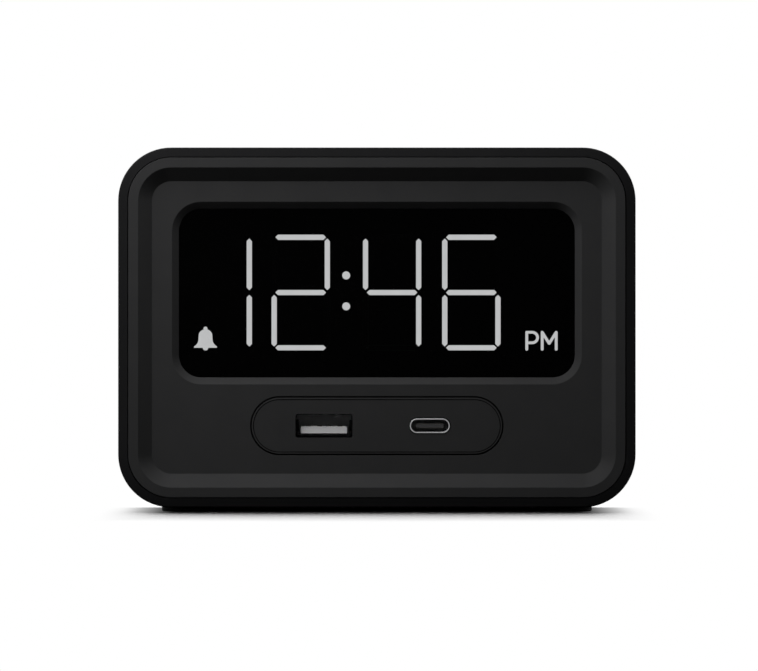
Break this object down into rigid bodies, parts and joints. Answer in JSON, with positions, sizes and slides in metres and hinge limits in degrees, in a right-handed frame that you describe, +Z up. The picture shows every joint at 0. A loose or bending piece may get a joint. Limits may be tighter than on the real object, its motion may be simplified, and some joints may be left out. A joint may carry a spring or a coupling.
{
  "type": "alarm clock",
  "caption": "Bedside digital alarm clock in a rounded block case, with a recessed lit display, charging sockets under it and set buttons, power inlet and battery drawer behind.",
  "frame": {"origin": "on the table, under the middle of the case", "axes": "+X to the right of someone facing the display, the display looks along -Y, +Z up"},
  "size_m": [0.115, 0.056, 0.081],
  "materials": {
    "case_plastic": "fine sparked texture, black",
    "bezel_plastic": "satin, black",
    "control_plastic": "satin, black",
    "tinted_lens": "clear gloss, smoke tint",
    "lit_bar": "lit white light guide",
    "unlit_bar": "dark light guide",
    "light_block": "matt black",
    "circuit_board": "green solder mask",
    "socket_shell": "nickel-plated sheet steel",
    "socket_insulator": "pale grey moulding",
    "dark_insulator": "black moulding",
    "contact_metal": "gold-plated",
    "screw_steel": "black zinc",
    "rubber": "matt",
    "chip_plastic": "matt epoxy",
    "capacitor_sleeve": "shrink sleeve",
    "crystal_can": "drawn can",
    "cell_steel": "nickel-plated",
    "cable_film": "white film",
    "connector_plastic": "natural nylon"
  },
  "bodies": {
    "housing": {"outer_shell": "case_plastic", "rear_cover": "case_plastic", "front_bezel": "bezel_plastic", "port_panel": "bezel_plastic", "display_lens": "tinted_lens", "rear_cover_screws": "screw_steel", "rubber_feet": "rubber", "display_block": "light_block", "hour_tens_bars": "lit_bar", "hour_bars": "lit_bar", "minute_tens_bars": "lit_bar", "minute_bars": "lit_bar", "colon_dots": "lit_bar", "alarm_bell_symbol": "lit_bar", "pm_symbol": "lit_bar", "unlit_bars": "unlit_bar", "display_leds": "connector_plastic", "display_board": "circuit_board", "display_board_screws": "screw_steel", "usb_board": "circuit_board", "usb_board_screws": "screw_steel", "usb_a_shell": "socket_shell", "usb_a_tongue": "socket_insulator", "usb_a_contacts": "contact_metal", "usb_c_shell": "socket_shell", "usb_c_tongue": "dark_insulator", "usb_c_contacts": "contact_metal", "top_board": "circuit_board", "top_push_switches": "dark_insulator", "top_board_screws": "screw_steel", "main_board": "circuit_board", "main_board_screws": "screw_steel", "controller_chip": "chip_plastic", "capacitors": "capacitor_sleeve", "power_inductor": "chip_plastic", "crystal": "crystal_can", "alarm_buzzer": "dark_insulator", "rear_push_switches": "dark_insulator", "slide_switch_housing": "dark_insulator", "dc_jack_body": "dark_insulator", "dc_jack_pin": "crystal_can", "battery_sleeve": "dark_insulator", "battery_contacts": "crystal_can", "display_cable": "cable_film", "usb_cable": "cable_film", "top_cable": "cable_film", "cable_connectors": "connector_plastic"},
    "snooze_bar": {"snooze_bar": "control_plastic"},
    "alarm_button": {"alarm_button": "control_plastic"},
    "brightness_button": {"brightness_button": "control_plastic"},
    "time_set_button": {"time_set_button": "control_plastic"},
    "alarm_set_button": {"alarm_set_button": "control_plastic"},
    "hour_button": {"hour_button": "control_plastic"},
    "minute_button": {"minute_button": "control_plastic"},
    "daylight_saving_knob": {"daylight_saving_knob": "control_plastic"},
    "battery_drawer": {"battery_drawer": "case_plastic", "backup_cell": "cell_steel"}
  },
  "joints": [
    {"name": "snooze_bar_press", "type": "slide", "parent": "housing", "child": "snooze_bar", "axis": [0, 0, -1], "range_m": [0, 0.0008], "stiffness_N_per_m": 200, "springref_m": -0.003},
    {"name": "alarm_button_press", "type": "slide", "parent": "housing", "child": "alarm_button", "axis": [0, 0, -1], "range_m": [0, 0.0008], "stiffness_N_per_m": 200, "springref_m": -0.003},
    {"name": "brightness_button_press", "type": "slide", "parent": "housing", "child": "brightness_button", "axis": [0, 0, -1], "range_m": [0, 0.0008], "stiffness_N_per_m": 200, "springref_m": -0.003},
    {"name": "time_set_button_press", "type": "slide", "parent": "housing", "child": "time_set_button", "axis": [0, -1, 0], "range_m": [0, 0.0005], "stiffness_N_per_m": 200, "springref_m": -0.003},
    {"name": "alarm_set_button_press", "type": "slide", "parent": "housing", "child": "alarm_set_button", "axis": [0, -1, 0], "range_m": [0, 0.0005], "stiffness_N_per_m": 200, "springref_m": -0.003},
    {"name": "hour_button_press", "type": "slide", "parent": "housing", "child": "hour_button", "axis": [0, -1, 0], "range_m": [0, 0.0005], "stiffness_N_per_m": 200, "springref_m": -0.003},
    {"name": "minute_button_press", "type": "slide", "parent": "housing", "child": "minute_button", "axis": [0, -1, 0], "range_m": [0, 0.0005], "stiffness_N_per_m": 200, "springref_m": -0.003},
    {"name": "daylight_saving_slide", "type": "slide", "parent": "housing", "child": "daylight_saving_knob", "axis": [1, 0, 0], "range_m": [0, 0.004]},
    {"name": "battery_drawer_slide", "type": "slide", "parent": "housing", "child": "battery_drawer", "axis": [0, 1, 0], "range_m": [0, 0.024]}
  ]
}
